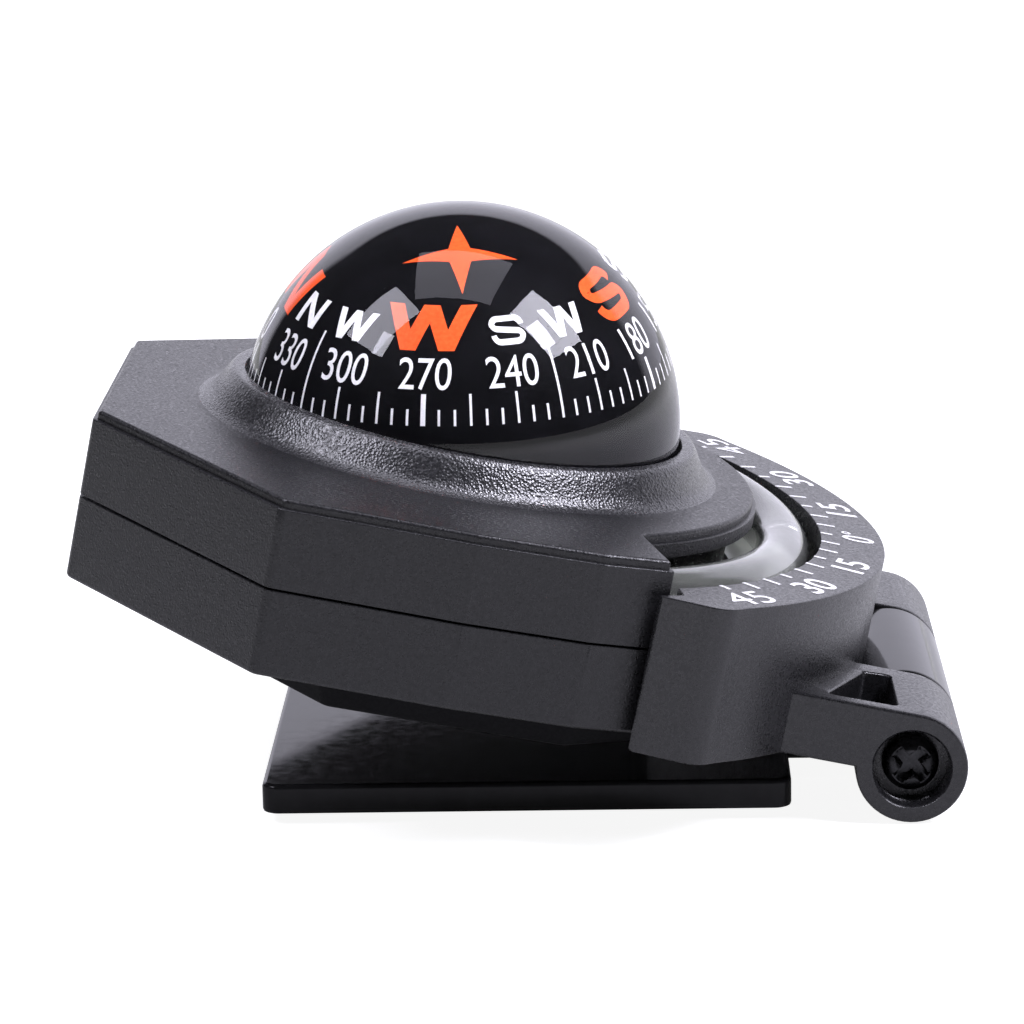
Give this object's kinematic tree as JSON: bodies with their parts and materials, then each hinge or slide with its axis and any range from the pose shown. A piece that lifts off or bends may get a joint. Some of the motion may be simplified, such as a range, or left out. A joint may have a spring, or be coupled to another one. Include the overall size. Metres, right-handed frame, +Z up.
{
  "type": "dash-mount ball compass",
  "caption": "Liquid-filled ball compass in a clipped octagonal case, with a curved ball clinometer and scale in front, hinged on a flat dash plate.",
  "frame": {"origin": "centre of the underside of the mounting pad, on the dash", "axes": "+Z up from the dash, +X from the back of the case to the hinge, the hinge axis runs along Y"},
  "size_m": [0.079, 0.0712, 0.0511],
  "materials": {
    "foam": "closed-cell foam tape, matte",
    "base_gloss": "polished black moulded plastic",
    "screw_black": "black oxide steel",
    "steel": "bright zinc",
    "bracket_plastic": "satin moulded plastic, fine grain",
    "case_plastic": "spark-eroded fine texture",
    "clear_acrylic": "clear polished acrylic",
    "bowl_plastic": "black moulded plastic",
    "rubber": "nitrile, matte",
    "brass": "turned",
    "pale_plastic": "pale moulded plastic",
    "ball_steel": "polished dark ball",
    "card_black": "black with printed white and orange markings",
    "magnet": "sintered ferrite"
  },
  "bodies": {
    "base": {"mounting_pad": "foam", "base_plate": "base_gloss"},
    "case": {"hinge_screw": "screw_black", "hinge_nut": "steel", "scale_bracket": "bracket_plastic", "bracket_screws": "screw_black", "top_shell": "case_plastic", "lower_shell": "case_plastic", "bottom_cover": "case_plastic", "case_screws": "screw_black", "cover_screws": "screw_black", "dome": "clear_acrylic", "bowl": "bowl_plastic", "dome_gasket": "rubber", "bowl_screws": "steel", "fill_plug": "brass", "plug_seal": "rubber", "diaphragm": "rubber", "diaphragm_cap": "bowl_plastic", "clinometer_tube": "clear_acrylic", "tube_plugs": "rubber", "tube_tray": "pale_plastic", "pivot_post": "brass"},
    "gimbal": {"gimbal_ring": "brass", "gimbal_pins": "steel"},
    "pivot": {"pivot_block": "brass", "pivot_pin": "steel"},
    "card": {"card_dome": "card_black", "card_spider": "bowl_plastic", "jewel_cup": "brass", "ring_magnet": "magnet"},
    "ball": {"clinometer_ball": "ball_steel"}
  },
  "joints": [
    {"name": "case_tilt", "type": "hinge", "parent": "base", "child": "case", "pos_m": [0.0336, 0, 0.00505], "axis": [0, 1, 0], "range_deg": [-9.5, 110]},
    {"name": "card_pitch", "type": "hinge", "parent": "case", "child": "gimbal", "pos_m": [-0.00586, 0, 0.0311], "axis": [0, 1, 0], "range_deg": [-8.2, 31.8]},
    {"name": "card_roll", "type": "hinge", "parent": "gimbal", "child": "pivot", "pos_m": [-0.00586, 0, 0.0311], "axis": [1, 0, 0], "range_deg": [-20, 20]},
    {"name": "card_turn", "type": "hinge", "parent": "pivot", "child": "card", "pos_m": [-0.00586, 0, 0.0311], "axis": [0, 0, 1], "continuous": true},
    {"name": "ball_roll", "type": "hinge", "parent": "case", "child": "ball", "pos_m": [-0.01208, 0, 0.02607], "axis": [0.2045, 0, 0.9789], "range_deg": [-48, 48]}
  ]
}
